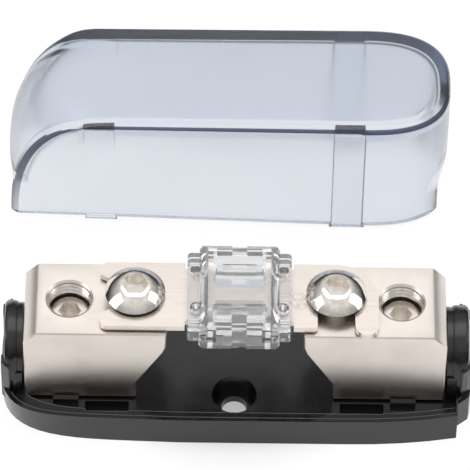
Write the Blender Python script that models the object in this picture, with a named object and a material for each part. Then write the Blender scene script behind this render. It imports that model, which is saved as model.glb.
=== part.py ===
"""Bolt-down strip-fuse holder: moulded tray, two set-screw terminal blocks, a strip fuse and a lift-off cover.

Units are metres. +X runs along the holder, +Z is up, and the origin is the centre of the tray's underside.
"""

from math import cos, pi, radians, sin, sqrt

import bmesh
import bpy

# Clearances
SEAT_GAP = 0.0003
THREAD_GAP = 0.0003

# Tray
TRAY_HALF_DEPTH = 0.01172
TRAY_LEFT_END = -0.0353
TRAY_RIGHT_END = 0.0357
RIM_HEIGHT = 0.0056
LIP_WIDTH = 0.0006
LEDGE_DROP = 0.0004
LEDGE_WIDTH = 0.0012
FLOOR_HEIGHT = 0.0043
TRAY_SKIN = 0.0019
TRAY_BOW = 0.065
RIM_RIGHT_STOP = 0.0336

# End posts that the wires pass through
POST_RADIUS = 0.0062
POST_BORE_RADIUS = 0.0043
POST_THICKNESS_LEFT = 0.0021
POST_THICKNESS_RIGHT = 0.0026
COLLAR_THICKNESS = 0.0007
COLLAR_RADIUS = 0.0059
END_WALL_HEIGHT = 0.0112
END_WALL_HALF_WIDTH = 0.0067

# Fixing holes and pockets in the tray floor
FIXING_HOLE_Y = 0.0058
FIXING_HOLE_RADIUS = 0.0019
FIXING_COUNTERBORE_RADIUS = 0.0034
FIXING_SEAT_HEIGHT = 0.0013
POCKET_DEPTH = 0.0014
POCKET_LENGTH = 0.0066
POCKET_WIDTH = 0.0026

# Terminal blocks
BLOCK_LENGTH = 0.0214
BLOCK_DEPTH = 0.0134
BLOCK_HEIGHT = 0.0154
BLOCK_OUTER_X = 0.03157
BLOCK_CHAMFER_X = 0.0019
BLOCK_CHAMFER_Z = 0.00215
BLOCK_FOOT_INSET = 0.0047
BLOCK_FOOT_HEIGHT = 0.0034
BLOCK_UNDERCUT_HEIGHT = 0.0118
WIRE_BORE_RADIUS = 0.0035
WIRE_BORE_HEIGHT = 0.0049
WIRE_BORE_DEPTH = 0.0122
WIRE_BORE_TIP = 0.0012

# Wire set screws
SET_SCREW_X = 0.0248
SET_SCREW_RADIUS = 0.003
SET_SCREW_LENGTH = 0.0042
SET_SCREW_SINK = 0.0029
SET_SOCKET_FLATS = 0.003
SET_SOCKET_DEPTH = 0.0022

# Fuse screws
FUSE_SCREW_SPACING = 0.030
FUSE_SCREW_RADIUS = 0.0025
FUSE_SCREW_LENGTH = 0.0078
HEAD_RADIUS = 0.0045
HEAD_HEIGHT = 0.00275
HEAD_EDGE = 0.0005
SOCKET_FLATS = 0.0035
SOCKET_DEPTH = 0.0017

# Screws that hold the blocks from below
BLOCK_SCREW_X = 0.0171
BLOCK_SCREW_RADIUS = 0.0014
BLOCK_SCREW_LENGTH = 0.0063
BLOCK_SCREW_HEAD_RADIUS = 0.0026
BLOCK_SCREW_HEAD_HEIGHT = 0.0014
BLOCK_SCREW_RECESS = 0.0005

# Strip fuse
FUSE_OFFSET_X = 0.00055
STRIP_END_REACH = 0.00575
STRIP_WIDTH = 0.012
STRIP_THICKNESS = 0.001
STRIP_NECK_WIDTH = 0.0098
STRIP_LINK_WIDTH = 0.0024
STRIP_LINK_HALF_LENGTH = 0.0036
STRIP_SLOT_WIDTH = 0.0056
PRONG_ROUND = 0.0011

# Fuse housing
FLANGE_HALF_LENGTH = 0.0078
FLANGE_HALF_DEPTH = 0.0067
FLANGE_THICKNESS = 0.0013
WINDOW_BOX_HALF_LENGTH = 0.0047
WINDOW_BOX_HALF_DEPTH = 0.0072
WINDOW_BOX_RISE = 0.0026
WINDOW_BOX_WALL = 0.0008
PIN_X = 0.00645
PIN_Y = 0.0035
PIN_RADIUS = 0.0006

# Cover, taken off and standing behind the tray, turned half round from its fitted position
COVER_CENTRE_X = -0.0019
COVER_CENTRE_Y = 0.04068
COVER_HALF_DEPTH = 0.01062
COVER_HALF_LENGTH = 0.0348
COVER_TOP = 0.0238
COVER_WALL = 0.0015
COVER_WALL_FOOT = 0.001
COVER_TOP_ROUND = 0.0012
COVER_NOSE_LENGTH = 0.0134
COVER_ROUND_END_LENGTH = 0.0189
COVER_EDGE_ROUND = 0.0021
COVER_TAPER_START = -0.0121
COVER_TAPER = 0.0024
RIB_SPACING = 0.0384
RIB_WIDTH = 0.0053
RIB_THICKNESS = 0.0007
NOTCH_SQUARE_HALF_WIDTH = 0.0079
NOTCH_SQUARE_HEIGHT = 0.009
NOTCH_ARCH_HALF_WIDTH = 0.0069
NOTCH_ARCH_SIDE_HEIGHT = 0.0056
NOTCH_REACH = 0.006

# Heights that follow from the ones above
BLOCK_BOTTOM = FLOOR_HEIGHT + SEAT_GAP
BLOCK_TOP = BLOCK_BOTTOM + BLOCK_HEIGHT
WIRE_AXIS_HEIGHT = BLOCK_BOTTOM + WIRE_BORE_HEIGHT
STRIP_BOTTOM = BLOCK_TOP + SEAT_GAP
STRIP_TOP = STRIP_BOTTOM + STRIP_THICKNESS
HEAD_BOTTOM = STRIP_TOP + SEAT_GAP

# A strip fuse is as long as its screw spacing and the reach past each screw
STRIP_LENGTH = FUSE_SCREW_SPACING + 2 * STRIP_END_REACH

CUT_MARGIN = 0.001


def clear_scene():
    for item in list(bpy.data.objects):
        bpy.data.objects.remove(item, do_unlink=True)


def material(name, colour, roughness, metallic=0.0, transmission=0.0):
    """A Principled surface; colour is linear red, green and blue."""
    surface = bpy.data.materials.new(name)
    surface.use_nodes = True
    shader = surface.node_tree.nodes["Principled BSDF"]
    shader.inputs["Base Color"].default_value = (*colour, 1.0)
    shader.inputs["Roughness"].default_value = roughness
    shader.inputs["Metallic"].default_value = metallic
    shader.inputs["Transmission Weight"].default_value = transmission
    return surface


def add_object(name, mesh_builder, surface=None):
    """Turn a bmesh into an object with outward faces."""
    bmesh.ops.recalc_face_normals(mesh_builder, faces=mesh_builder.faces)
    mesh = bpy.data.meshes.new(name)
    mesh_builder.to_mesh(mesh)
    mesh_builder.free()
    item = bpy.data.objects.new(name, mesh)
    bpy.context.scene.collection.objects.link(item)
    if surface:
        mesh.materials.append(surface)
    return item


def smooth(item, angle=35):
    item.data.shade_smooth()
    item.data.set_sharp_from_angle(angle=radians(angle))


def loft(name, rings, surface=None):
    """Join rings of equal length with side faces and close both ends."""
    builder = bmesh.new()
    rows = [[builder.verts.new(point) for point in ring] for ring in rings]
    count = len(rings[0])
    for lower, upper in zip(rows, rows[1:]):
        for i in range(count):
            j = (i + 1) % count
            builder.faces.new((lower[i], lower[j], upper[j], upper[i]))
    builder.faces.new(rows[0])
    builder.faces.new(rows[-1])
    return add_object(name, builder, surface)


def prism(name, outline, low, high, axis="Z", surface=None):
    """Extrude a flat outline between two places along X, Y or Z."""
    place = {
        "X": lambda u, v, w: (w, u, v),
        "Y": lambda u, v, w: (u, w, v),
        "Z": lambda u, v, w: (u, v, w),
    }[axis]
    return loft(name, [[place(u, v, w) for u, v in outline] for w in (low, high)], surface)


def box(name, low, high):
    outline = [(low[0], low[1]), (high[0], low[1]), (high[0], high[1]), (low[0], high[1])]
    return prism(name, outline, low[2], high[2])


def turned(name, profile, centre, axis="Z", segments=32, surface=None):
    """Revolve (radius, distance) points about an axis through centre; ends at radius 0 close to a point."""
    along = {
        "X": lambda c, s, r, d: (centre[0] + d, centre[1] + r * c, centre[2] + r * s),
        "Z": lambda c, s, r, d: (centre[0] + r * c, centre[1] + r * s, centre[2] + d),
    }[axis]
    builder = bmesh.new()
    rows = []
    for radius, distance in profile:
        if radius == 0.0:
            rows.append([builder.verts.new(along(1, 0, 0, distance))])
            continue
        angles = [2 * pi * k / segments for k in range(segments)]
        rows.append([builder.verts.new(along(cos(a), sin(a), radius, distance)) for a in angles])
    for lower, upper in zip(rows, rows[1:]):
        for i in range(segments):
            j = (i + 1) % segments
            if len(lower) == 1:
                builder.faces.new((lower[0], upper[j], upper[i]))
            elif len(upper) == 1:
                builder.faces.new((lower[i], lower[j], upper[0]))
            else:
                builder.faces.new((lower[i], lower[j], upper[j], upper[i]))
    return add_object(name, builder, surface)


def rod(name, radius, low, high, centre, axis="Z", segments=32):
    """A plain cylinder between two distances along its axis."""
    profile = [(0.0, low), (radius, low), (radius, high), (0.0, high)]
    return turned(name, profile, centre, axis, segments)


def combine(target, tool, operation):
    """Cut or join one shape with another, and keep the other as a hidden guide."""
    step = target.modifiers.new(operation.title() + " " + tool.name, "BOOLEAN")
    step.operation = operation
    step.object = tool
    step.solver = "EXACT"
    tool.hide_render = True
    tool.hide_viewport = False
    tool.display_type = "WIRE"


def cut(target, tool):
    combine(target, tool, "DIFFERENCE")


def join(target, tool):
    combine(target, tool, "UNION")


def arc(centre, radius, start, end, steps):
    """Points on an arc, both ends included; angles in degrees."""
    angles = [radians(start + (end - start) * k / steps) for k in range(steps + 1)]
    return [(centre[0] + radius * cos(a), centre[1] + radius * sin(a)) for a in angles]


def rounded_rectangle(x_low, x_high, y_low, y_high, radius, steps=4):
    return (
        arc((x_high - radius, y_low + radius), radius, -90, 0, steps)
        + arc((x_high - radius, y_high - radius), radius, 0, 90, steps)
        + arc((x_low + radius, y_high - radius), radius, 90, 180, steps)
        + arc((x_low + radius, y_low + radius), radius, 180, 270, steps)
    )


def hexagon(across_flats, centre):
    radius = across_flats / sqrt(3)
    return [(centre[0] + radius * cos(pi * k / 3), centre[1] + radius * sin(pi * k / 3)) for k in range(6)]


def superellipse(fraction, first_power, second_power):
    """Half width left at a fraction of the way to the tip of a rounded end."""
    return max(0.0, 1.0 - fraction ** first_power) ** (1.0 / second_power)


def tray_outline(first_power, second_power, inset=0.0):
    """Plan of the tray: one rounded end at -X, and a stepped, chamfered end at +X."""
    half_depth = TRAY_HALF_DEPTH - inset
    round_start = -0.008
    round_length = round_start - TRAY_LEFT_END - inset
    taper_start = 0.017
    taper_length = RIM_RIGHT_STOP - taper_start
    taper = 0.00145
    side = []
    for k in range(1, 15):
        fraction = sin(pi / 2 * (1 - k / 15)) ** 0.6
        width = half_depth * superellipse(fraction, first_power, second_power) * (1 - TRAY_BOW * fraction)
        side.append((round_start - round_length * fraction, width))
    side.append((round_start, half_depth))
    for k in range(5):
        fraction = k / 4
        side.append((taper_start + taper_length * fraction, half_depth - taper * fraction ** 2.2))
    setback = 0.0022
    side.append((RIM_RIGHT_STOP + 0.0001, half_depth - taper - setback))
    side.append((TRAY_RIGHT_END - 0.0003 - inset, END_WALL_HALF_WIDTH - inset))
    side.append((TRAY_RIGHT_END - inset, END_WALL_HALF_WIDTH - 0.0013 - inset))
    tip = [(TRAY_LEFT_END + inset, 0.0)]
    return tip + [(x, -y) for x, y in side] + [(x, y) for x, y in reversed(side)]


def at_height(outline, height):
    return [(x, y, height) for x, y in outline]


def arch_outline(half_width, foot, centre_height, steps=12):
    """A post with a half-round top, in Y and Z."""
    return [(-half_width, foot), (half_width, foot)] + arc((0, centre_height), half_width, 0, 180, steps)


def add_end_post(tray, side):
    """The arch that a wire passes through, its thinner collar towards the block, and the wall behind it."""
    thickness = POST_THICKNESS_LEFT if side < 0 else POST_THICKNESS_RIGHT
    tray_end = TRAY_LEFT_END if side < 0 else TRAY_RIGHT_END
    label = "left" if side < 0 else "right"
    collar_start = BLOCK_OUTER_X + SEAT_GAP
    post_start = collar_start + COLLAR_THICKNESS
    post_end = post_start + thickness
    foot = FLOOR_HEIGHT - CUT_MARGIN
    collar = arch_outline(COLLAR_RADIUS, foot, WIRE_AXIS_HEIGHT)
    collar_end = side * (post_start + CUT_MARGIN)
    join(tray, prism("collar_" + label, collar, side * collar_start, collar_end, "X"))
    shoulder = 0.0004
    plate = [(-END_WALL_HALF_WIDTH - shoulder, foot), (END_WALL_HALF_WIDTH + shoulder, foot)]
    plate += [(POST_RADIUS, WIRE_AXIS_HEIGHT), (-POST_RADIUS, WIRE_AXIS_HEIGHT)]
    join(tray, prism("plate_" + label, plate, side * (collar_start + 0.0001), side * (post_start + 0.0007), "X"))
    post = arch_outline(POST_RADIUS, foot, WIRE_AXIS_HEIGHT)
    post_body = prism("post_" + label, post, side * post_start, side * post_end, "X")
    round_edge = post_body.modifiers.new("Rounded arch", "BEVEL")
    round_edge.width = 0.0006
    round_edge.segments = 2
    round_edge.limit_method = "ANGLE"
    round_edge.angle_limit = radians(60)
    join(tray, post_body)
    wall_start = post_start + thickness * 0.55
    wall_end = abs(tray_end) - 0.0002
    corner = 0.0012
    wall = [
        (side * wall_start, -END_WALL_HALF_WIDTH),
        (side * (wall_end - corner), -END_WALL_HALF_WIDTH),
        (side * wall_end, -END_WALL_HALF_WIDTH + corner),
        (side * wall_end, END_WALL_HALF_WIDTH - corner),
        (side * (wall_end - corner), END_WALL_HALF_WIDTH),
        (side * wall_start, END_WALL_HALF_WIDTH),
    ]
    join(tray, prism("end_wall_" + label, wall, foot, END_WALL_HEIGHT))
    for face in (-1, 1):
        for step in range(2):
            low = END_WALL_HEIGHT + 0.0004 + 0.0019 * step
            inner = face * (POST_RADIUS - 0.0009 - 0.0007 * step)
            outer = face * (POST_RADIUS + 0.00045 - 0.0006 * step)
            corner_low = (min(side * wall_start, side * post_end), min(inner, outer), low)
            corner_high = (max(side * wall_start, side * post_end) - 0.0002, max(inner, outer), low + 0.0013)
            join(tray, box("lug_%s_%d_%d" % (label, face, step), corner_low, corner_high))
    bore_ends = sorted((side * (collar_start - CUT_MARGIN), side * (abs(tray_end) + CUT_MARGIN)))
    bore = rod("post_bore_" + label, POST_BORE_RADIUS, *bore_ends, (0, 0, WIRE_AXIS_HEIGHT), "X")
    cut(tray, bore)


def stepped_hole(name, wide, narrow, wide_end, seat, narrow_end, centre):
    """Cutter for a counterbored hole: wide from its mouth to the seat, narrow beyond it."""
    profile = [(0.0, wide_end), (wide, wide_end), (wide, seat), (narrow, seat), (narrow, narrow_end), (0.0, narrow_end)]
    return turned(name, profile, centre)


def cut_block_screw_hole(tray, side):
    """Head recess and clearance hole for the screw that holds a block."""
    label = "left" if side < 0 else "right"
    head_seat = BLOCK_SCREW_RECESS + BLOCK_SCREW_HEAD_HEIGHT + SEAT_GAP
    head_clearance = BLOCK_SCREW_HEAD_RADIUS + SEAT_GAP
    hole = BLOCK_SCREW_RADIUS + THREAD_GAP
    ends = (-CUT_MARGIN, head_seat, FLOOR_HEIGHT + CUT_MARGIN)
    cut(tray, stepped_hole("block_screw_way_" + label, head_clearance, hole, *ends, (side * BLOCK_SCREW_X, 0, 0)))


def add_underside(tray):
    """Moulded trays are hollow below: one recess on each side of the middle, with a boss for the block screw."""
    inner_x = 0.0068
    outer_x = 0.0308
    half_depth = TRAY_HALF_DEPTH - 0.0034
    ceiling = FLOOR_HEIGHT - TRAY_SKIN
    boss_radius = BLOCK_SCREW_HEAD_RADIUS + 0.0018
    for side, label in ((-1, "left"), (1, "right")):
        ends = sorted((side * inner_x, side * outer_x))
        recess = rounded_rectangle(*ends, -half_depth, half_depth, 0.0025)
        pocket = prism("underside_" + label, recess, -CUT_MARGIN, ceiling)
        cut(pocket, rod("boss_" + label, boss_radius, -2 * CUT_MARGIN, FLOOR_HEIGHT, (side * BLOCK_SCREW_X, 0, 0)))
        cut(tray, pocket)
        cut_block_screw_hole(tray, side)


def add_floor_details(tray):
    """Counterbored fixing holes, pockets for the cover's legs, and small ridges that locate the blocks."""
    for side, label in ((-1, "front"), (1, "back")):
        ends = (FLOOR_HEIGHT + CUT_MARGIN, FIXING_SEAT_HEIGHT, -CUT_MARGIN)
        radii = (FIXING_COUNTERBORE_RADIUS, FIXING_HOLE_RADIUS)
        cut(tray, stepped_hole("fixing_hole_" + label, *radii, *ends, (0, side * FIXING_HOLE_Y, 0)))
    pocket_y = BLOCK_DEPTH / 2 + SEAT_GAP + 0.0003
    for x_side in (-1, 1):
        for y_side in (-1, 1):
            label = "%d_%d" % (x_side, y_side)
            ends_y = sorted((y_side * pocket_y, y_side * (pocket_y + POCKET_WIDTH)))
            middle = x_side * RIB_SPACING / 2
            low = (middle - POCKET_LENGTH / 2, ends_y[0], FLOOR_HEIGHT - POCKET_DEPTH)
            high = (middle + POCKET_LENGTH / 2, ends_y[1], RIM_HEIGHT + CUT_MARGIN)
            cut(tray, box("leg_pocket_" + label, low, high))
            tab_x = sorted((x_side * 0.0235, x_side * 0.0273))
            tab_y = sorted((y_side * (BLOCK_DEPTH / 2 + SEAT_GAP), y_side * (BLOCK_DEPTH / 2 + 0.0011)))
            tab_low = (tab_x[0], tab_y[0], FLOOR_HEIGHT - CUT_MARGIN)
            tab_high = (tab_x[1], tab_y[1], FLOOR_HEIGHT + 0.001)
            join(tray, box("block_tab_" + label, tab_low, tab_high))


def build_tray(surface):
    foot = tray_outline(5, 2.8)
    rim = tray_outline(7.5, 3.3)
    tray = loft("base_tray", [at_height(foot, 0.0), at_height(rim, RIM_HEIGHT)], surface)
    ledge = tray_outline(7.5, 3.3, LIP_WIDTH)
    cut(tray, loft("cover_ledge", [at_height(ledge, z) for z in (RIM_HEIGHT - LEDGE_DROP, 2 * RIM_HEIGHT)]))
    well = tray_outline(6, 3.0, LIP_WIDTH + LEDGE_WIDTH)
    cut(tray, loft("floor_well", [at_height(well, z) for z in (FLOOR_HEIGHT, 2 * RIM_HEIGHT)]))
    add_floor_details(tray)
    add_underside(tray)
    for side in (-1, 1):
        add_end_post(tray, side)
    smooth(tray, 28)
    return tray


def block_outline():
    """Side view of the left block, from its outer lower corner; the inner end is undercut."""
    outer = -BLOCK_OUTER_X
    inner_top = outer + BLOCK_LENGTH
    inner_foot = inner_top - BLOCK_FOOT_INSET
    bend = BLOCK_BOTTOM + BLOCK_UNDERCUT_HEIGHT
    slope = [
        (inner_top - 0.00115, bend - 0.0019),
        (inner_top - 0.00045, bend - 0.0006),
        (inner_top - 0.00008, bend + 0.0007),
    ]
    return [
        (outer, BLOCK_BOTTOM),
        (inner_foot, BLOCK_BOTTOM),
        (inner_foot, BLOCK_BOTTOM + BLOCK_FOOT_HEIGHT),
        *slope,
        (inner_top, BLOCK_TOP),
        (outer + BLOCK_CHAMFER_X, BLOCK_TOP),
        (outer, BLOCK_TOP - BLOCK_CHAMFER_Z),
    ]


def build_block(side, surface):
    """Solid brass block: a blind bore for the wire, and threaded holes for its two screws and its fixing."""
    label = "left" if side < 0 else "right"
    outline = [(-side * x, z) for x, z in block_outline()]
    block = prism("terminal_block_" + label, outline, -BLOCK_DEPTH / 2, BLOCK_DEPTH / 2, "Y", surface)
    soften = block.modifiers.new("Broken edges", "BEVEL")
    soften.width = 0.0002
    soften.segments = 1
    soften.limit_method = "ANGLE"
    soften.angle_limit = radians(40)
    bore_end = BLOCK_OUTER_X - WIRE_BORE_DEPTH
    profile = [
        (0.0, BLOCK_OUTER_X + CUT_MARGIN),
        (WIRE_BORE_RADIUS, BLOCK_OUTER_X + CUT_MARGIN),
        (WIRE_BORE_RADIUS, bore_end),
        (0.0, bore_end - WIRE_BORE_TIP),
    ]
    profile = [(radius, side * x) for radius, x in profile]
    cut(block, turned("wire_bore_" + label, profile, (0, 0, WIRE_AXIS_HEIGHT), "X"))
    set_hole = SET_SCREW_RADIUS + THREAD_GAP
    set_x = side * SET_SCREW_X
    mouth = 0.0003
    set_profile = [
        (0.0, WIRE_AXIS_HEIGHT),
        (set_hole, WIRE_AXIS_HEIGHT),
        (set_hole, BLOCK_TOP - mouth),
        (set_hole + 2 * mouth, BLOCK_TOP + mouth),
        (0.0, BLOCK_TOP + mouth),
    ]
    cut(block, turned("set_screw_way_" + label, set_profile, (set_x, 0, 0)))
    fuse_hole = FUSE_SCREW_RADIUS + THREAD_GAP
    fuse_x = side * FUSE_SCREW_SPACING / 2
    fuse_floor = HEAD_BOTTOM - FUSE_SCREW_LENGTH - CUT_MARGIN
    cut(block, rod("fuse_screw_way_" + label, fuse_hole, fuse_floor, BLOCK_TOP + CUT_MARGIN, (fuse_x, 0, 0)))
    fixing_hole = BLOCK_SCREW_RADIUS + THREAD_GAP
    fixing_top = BLOCK_SCREW_RECESS + BLOCK_SCREW_HEAD_HEIGHT + BLOCK_SCREW_LENGTH + SEAT_GAP
    centre = (side * BLOCK_SCREW_X, 0, 0)
    cut(block, rod("fixing_way_" + label, fixing_hole, BLOCK_BOTTOM - CUT_MARGIN, fixing_top, centre, segments=20))
    smooth(block, 30)
    return block


def build_set_screw(side, surface):
    """Headless screw with a hex socket and a cup point; its axis is the origin of the object."""
    label = "left" if side < 0 else "right"
    edge = 0.0004
    half = SET_SCREW_LENGTH / 2
    profile = [
        (0.0, -half + 0.0005),
        (0.0012, -half),
        (SET_SCREW_RADIUS - 2 * edge, -half),
        (SET_SCREW_RADIUS, -half + 2 * edge),
        (SET_SCREW_RADIUS, half - edge),
        (SET_SCREW_RADIUS - edge, half),
        (0.0, half),
    ]
    screw = turned("wire_set_screw_" + label, profile, (0, 0, 0), surface=surface)
    socket = prism("set_socket_" + label, hexagon(SET_SOCKET_FLATS, (0, 0)), half - SET_SOCKET_DEPTH, half + CUT_MARGIN)
    socket.parent = screw
    cut(screw, socket)
    screw.location = (side * SET_SCREW_X, 0, BLOCK_TOP - SET_SCREW_SINK - half)
    smooth(screw)
    return screw


def build_fuse_screw(side, surface):
    """Button-head screw: a domed head with a hex socket, and a plain shank at the thread's outer size."""
    label = "left" if side < 0 else "right"
    dome_height = HEAD_HEIGHT - HEAD_EDGE
    crown_radius = (HEAD_RADIUS ** 2 + dome_height ** 2) / (2 * dome_height)
    flat_radius = SOCKET_FLATS * 0.62
    dome = []
    for k in range(6):
        radius = HEAD_RADIUS + (flat_radius - HEAD_RADIUS) * k / 5
        dome.append((radius, HEAD_HEIGHT - crown_radius + sqrt(crown_radius ** 2 - radius ** 2)))
    profile = [
        (0.0, -FUSE_SCREW_LENGTH),
        (FUSE_SCREW_RADIUS - 0.0005, -FUSE_SCREW_LENGTH),
        (FUSE_SCREW_RADIUS, -FUSE_SCREW_LENGTH + 0.0005),
        (FUSE_SCREW_RADIUS, 0.0),
        (HEAD_RADIUS - 0.0003, 0.0),
        *dome,
        (0.0, dome[-1][1]),
    ]
    screw = turned("fuse_screw_" + label, profile, (0, 0, 0), segments=32, surface=surface)
    socket_low = HEAD_HEIGHT - SOCKET_DEPTH
    socket = prism("head_socket_" + label, hexagon(SOCKET_FLATS, (0, 0)), socket_low, HEAD_HEIGHT + CUT_MARGIN)
    socket.parent = screw
    cut(screw, socket)
    screw.location = (side * FUSE_SCREW_SPACING / 2, 0, HEAD_BOTTOM)
    smooth(screw)
    return screw


def build_block_screw(side, surface):
    """Pan-head screw that comes up through the tray into a block."""
    label = "left" if side < 0 else "right"
    head = BLOCK_SCREW_HEAD_HEIGHT
    profile = [
        (0.0, 0.0),
        (BLOCK_SCREW_HEAD_RADIUS - 0.0006, 0.0),
        (BLOCK_SCREW_HEAD_RADIUS, 0.0006),
        (BLOCK_SCREW_HEAD_RADIUS, head),
        (BLOCK_SCREW_RADIUS, head),
        (BLOCK_SCREW_RADIUS, head + BLOCK_SCREW_LENGTH - 0.0006),
        (BLOCK_SCREW_RADIUS - 0.0006, head + BLOCK_SCREW_LENGTH),
        (0.0, head + BLOCK_SCREW_LENGTH),
    ]
    screw = turned("block_screw_" + label, profile, (0, 0, 0), segments=24, surface=surface)
    cross = 0.0003
    reach = BLOCK_SCREW_HEAD_RADIUS * 0.6
    for name, size in (("slot_a_", (reach, cross)), ("slot_b_", (cross, reach))):
        slot = box(name + label, (-size[0], -size[1], -CUT_MARGIN), (size[0], size[1], 0.0007))
        slot.parent = screw
        cut(screw, slot)
    screw.location = (side * BLOCK_SCREW_X, 0, BLOCK_SCREW_RECESS)
    smooth(screw)
    return screw


def strip_outline():
    """Plan of the blanked strip: a hooked notch at +X, a flared slot at -X, and a narrow link between."""
    half_width = STRIP_WIDTH / 2
    neck = STRIP_NECK_WIDTH / 2
    link = STRIP_LINK_WIDTH / 2
    left = FUSE_OFFSET_X - STRIP_LENGTH / 2
    right = FUSE_OFFSET_X + STRIP_LENGTH / 2
    shoulder = FLANGE_HALF_LENGTH + SEAT_GAP
    screw_x = FUSE_SCREW_SPACING / 2
    slot = STRIP_SLOT_WIDTH / 2
    flare = 0.0008
    prong = PRONG_ROUND
    hook_round = right - screw_x
    hook_inner = screw_x + slot
    hook_half = (right - hook_inner) / 2
    right_tab = [
        (FUSE_OFFSET_X + shoulder, -neck),
        (FUSE_OFFSET_X + shoulder, -half_width),
        (screw_x - slot - 0.0004, -half_width),
        (screw_x - slot, -half_width + 0.0004),
        *arc((screw_x, 0), slot, 180, 0, 12),
        *arc((hook_inner + hook_half, -half_width + 0.0006), hook_half, 180, 360, 8),
        *arc((screw_x, half_width - hook_round), hook_round, 0, 90, 8),
        (FUSE_OFFSET_X + shoulder, half_width),
        (FUSE_OFFSET_X + shoulder, neck),
    ]
    left_tab = [
        (FUSE_OFFSET_X - shoulder, neck),
        (FUSE_OFFSET_X - shoulder, half_width),
        *arc((left + prong, half_width - prong), prong, 90, 180, 4),
        (left, slot + flare),
        (left + 2 * flare, slot),
        *arc((-screw_x, 0), slot, 90, -90, 12),
        (left + 2 * flare, -slot),
        (left, -slot - flare),
        *arc((left + prong, -half_width + prong), prong, 180, 270, 4),
        (FUSE_OFFSET_X - shoulder, -half_width),
        (FUSE_OFFSET_X - shoulder, -neck),
    ]
    link_x = STRIP_LINK_HALF_LENGTH
    upper = [(FUSE_OFFSET_X + link_x, neck), (FUSE_OFFSET_X + link_x, link)]
    upper += [(FUSE_OFFSET_X - link_x, link), (FUSE_OFFSET_X - link_x, neck)]
    lower = [(FUSE_OFFSET_X - link_x, -neck), (FUSE_OFFSET_X - link_x, -link)]
    lower += [(FUSE_OFFSET_X + link_x, -link), (FUSE_OFFSET_X + link_x, -neck)]
    return right_tab + upper + left_tab + lower


def pin_places():
    return [(FUSE_OFFSET_X + x * PIN_X, y * PIN_Y) for x in (-1, 1) for y in (-1, 1)]


def build_strip(surface):
    strip = prism("fuse_strip", strip_outline(), STRIP_BOTTOM, STRIP_TOP, "Z", surface)
    for k, (x, y) in enumerate(pin_places()):
        ends = (STRIP_BOTTOM - CUT_MARGIN, STRIP_TOP + CUT_MARGIN)
        cut(strip, rod("strip_hole_%d" % k, PIN_RADIUS + SEAT_GAP, *ends, (x, y, 0), segments=16))
    smooth(strip, 30)
    return strip


def housing_half(name, facing, surface):
    """One half of the clear housing; facing is +1 for the upper half and -1 for the lower."""
    strip_middle = (STRIP_BOTTOM + STRIP_TOP) / 2
    parting = strip_middle + facing * SEAT_GAP / 2
    channel = strip_middle + facing * (STRIP_THICKNESS / 2 + SEAT_GAP)
    flange_face = strip_middle + facing * (STRIP_THICKNESS / 2 + SEAT_GAP + FLANGE_THICKNESS)
    box_face = flange_face + facing * WINDOW_BOX_RISE
    chamfer = 0.0013
    centre = FUSE_OFFSET_X
    flange = rounded_rectangle(
        centre - FLANGE_HALF_LENGTH, centre + FLANGE_HALF_LENGTH, -FLANGE_HALF_DEPTH, FLANGE_HALF_DEPTH, 0.0006, 3
    )
    half = prism(name, flange, *sorted((parting, flange_face)), "Z", surface)
    low_x = centre - WINDOW_BOX_HALF_LENGTH
    high_x = centre + WINDOW_BOX_HALF_LENGTH
    window_box = [
        (low_x - chamfer, parting),
        (high_x + chamfer, parting),
        (high_x + chamfer, box_face - facing * (chamfer + 0.0011)),
        (high_x, box_face),
        (low_x, box_face),
        (low_x - chamfer, box_face - facing * (chamfer + 0.0011)),
    ]
    raised = prism(name + "_box", window_box, -WINDOW_BOX_HALF_DEPTH, WINDOW_BOX_HALF_DEPTH, "Y")
    join(half, raised)
    for y_side in (-1, 1):
        slope = [
            (y_side * (WINDOW_BOX_HALF_DEPTH - 0.0018), box_face + facing * 0.0001),
            (y_side * (WINDOW_BOX_HALF_DEPTH + 0.0001), box_face + facing * 0.0001),
            (y_side * (WINDOW_BOX_HALF_DEPTH + 0.0001), box_face - facing * 0.0016),
        ]
        ends = (low_x - 2 * chamfer, high_x + 2 * chamfer)
        cut(half, prism("%s_slope_%d" % (name, y_side), slope, *ends, "X"))
    inner_length = WINDOW_BOX_HALF_LENGTH - WINDOW_BOX_WALL
    inner_depth = STRIP_NECK_WIDTH / 2 - 0.0004
    inner_face = box_face - facing * WINDOW_BOX_WALL
    hollow_z = sorted((parting - facing * CUT_MARGIN, inner_face))
    hollow = box(
        name + "_hollow",
        (centre - inner_length, -inner_depth, hollow_z[0]),
        (centre + inner_length, inner_depth, hollow_z[1]),
    )
    cut(half, hollow)
    channel_z = sorted((parting - facing * CUT_MARGIN, channel))
    channel_depth = STRIP_NECK_WIDTH / 2 + SEAT_GAP
    ends_x = FLANGE_HALF_LENGTH + CUT_MARGIN
    channel_cut = box(
        name + "_channel",
        (centre - ends_x, -channel_depth, channel_z[0]),
        (centre + ends_x, channel_depth, channel_z[1]),
    )
    cut(half, channel_cut)
    add_latch_details(half, name, facing, parting, box_face)
    return half


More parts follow.
